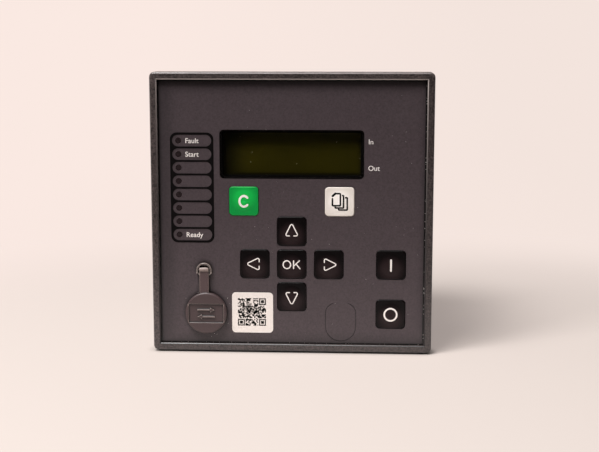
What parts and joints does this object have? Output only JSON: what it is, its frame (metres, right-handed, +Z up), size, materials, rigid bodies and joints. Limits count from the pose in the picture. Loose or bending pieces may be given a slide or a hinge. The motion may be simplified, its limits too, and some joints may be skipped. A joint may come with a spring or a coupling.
{
  "type": "protection relay",
  "caption": "Square panel-mounted protection relay with a text display, indicator lamps, push keys, a rubber-capped service port and rear terminal blocks.",
  "frame": {"origin": "centre of the gasket's back face, where the relay seats on the panel's front surface", "axes": "+X to the right seen from the front, +Y into the panel, +Z up; the front faces -Y"},
  "size_m": [0.144, 0.1177, 0.144],
  "materials": {
    "bezel": "fine moulded grain",
    "gasket": "matt",
    "film": "fine matt film",
    "print": "satin print",
    "window": "clear, glossy",
    "lens": "smoked",
    "key_green": "satin",
    "key_white": "satin",
    "key_black": "satin",
    "cap": "matt moulded",
    "anchor": "matt moulded",
    "nickel": "bright nickel",
    "contact_carrier": "satin",
    "label": "matt film",
    "display_frame": "black",
    "display_glass": "dark olive",
    "board": "solder mask",
    "switch": "satin",
    "cell": "shrink sleeve",
    "transformer": "potted",
    "relay": "satin",
    "capacitor": "sleeved",
    "screw": "zinc plated",
    "case": "fine moulded grain",
    "cover": "fine moulded grain",
    "stud": "plain",
    "terminal_green": "satin",
    "terminal_black": "satin"
  },
  "bodies": {
    "relay": {"front_bezel": "bezel", "panel_gasket": "gasket", "front_overlay": "film", "led_label_field": "print", "display_window": "window", "led_lens_1": "lens", "led_lens_2": "lens", "led_lens_3": "lens", "led_lens_4": "lens", "led_lens_5": "lens", "led_lens_6": "lens", "led_lens_7": "lens", "led_lens_8": "lens", "port_anchor": "anchor", "port_shell": "nickel", "port_insert": "contact_carrier", "front_link": "contact_carrier", "rear_link": "contact_carrier", "code_label": "label", "lcd_frame": "display_frame", "lcd_glass": "display_glass", "lcd_board": "board", "display_board": "board", "cpu_board": "board", "io_board": "board", "key_switches": "switch", "battery_holder": "switch", "battery_cell": "cell", "current_transformer_1": "transformer", "current_transformer_2": "transformer", "current_transformer_3": "transformer", "earth_fault_transformer": "transformer", "output_relays": "relay", "supply_module": "relay", "storage_capacitors": "capacitor", "board_screws": "screw", "case_screws": "screw", "current_screws": "screw", "block_screws": "screw", "case_shell": "case", "rear_cover": "cover", "earth_stud": "stud", "io_block": "terminal_green", "sensor_block_1": "terminal_green", "sensor_block_2": "terminal_green", "sensor_block_3": "terminal_green", "comm_block": "terminal_green", "current_block": "terminal_black"},
    "key_clear": {"key_clear": "key_green"},
    "key_page": {"key_page": "key_white"},
    "key_up": {"key_up": "key_black"},
    "key_left": {"key_left": "key_black"},
    "key_ok": {"key_ok": "key_black"},
    "key_right": {"key_right": "key_black"},
    "key_down": {"key_down": "key_black"},
    "key_on": {"key_on": "key_black"},
    "key_off": {"key_off": "key_black"},
    "port_cover": {"port_cover": "cap"}
  },
  "joints": [
    {"name": "key_clear_press", "type": "slide", "parent": "relay", "child": "key_clear", "axis": [0, 1, 0], "range_m": [0, 0.0006], "stiffness_N_per_m": 1500},
    {"name": "key_page_press", "type": "slide", "parent": "relay", "child": "key_page", "axis": [0, 1, 0], "range_m": [0, 0.0006], "stiffness_N_per_m": 1500},
    {"name": "key_up_press", "type": "slide", "parent": "relay", "child": "key_up", "axis": [0, 1, 0], "range_m": [0, 0.0006], "stiffness_N_per_m": 1500},
    {"name": "key_left_press", "type": "slide", "parent": "relay", "child": "key_left", "axis": [0, 1, 0], "range_m": [0, 0.0006], "stiffness_N_per_m": 1500},
    {"name": "key_ok_press", "type": "slide", "parent": "relay", "child": "key_ok", "axis": [0, 1, 0], "range_m": [0, 0.0006], "stiffness_N_per_m": 1500},
    {"name": "key_right_press", "type": "slide", "parent": "relay", "child": "key_right", "axis": [0, 1, 0], "range_m": [0, 0.0006], "stiffness_N_per_m": 1500},
    {"name": "key_down_press", "type": "slide", "parent": "relay", "child": "key_down", "axis": [0, 1, 0], "range_m": [0, 0.0006], "stiffness_N_per_m": 1500},
    {"name": "key_on_press", "type": "slide", "parent": "relay", "child": "key_on", "axis": [0, 1, 0], "range_m": [0, 0.0006], "stiffness_N_per_m": 1500},
    {"name": "key_off_press", "type": "slide", "parent": "relay", "child": "key_off", "axis": [0, 1, 0], "range_m": [0, 0.0006], "stiffness_N_per_m": 1500},
    {"name": "port_cover_swing", "type": "hinge", "parent": "relay", "child": "port_cover", "pos_m": [-0.0452, -0.0115, -0.0291], "axis": [-1, 0, 0], "range_deg": [0, 110]}
  ]
}
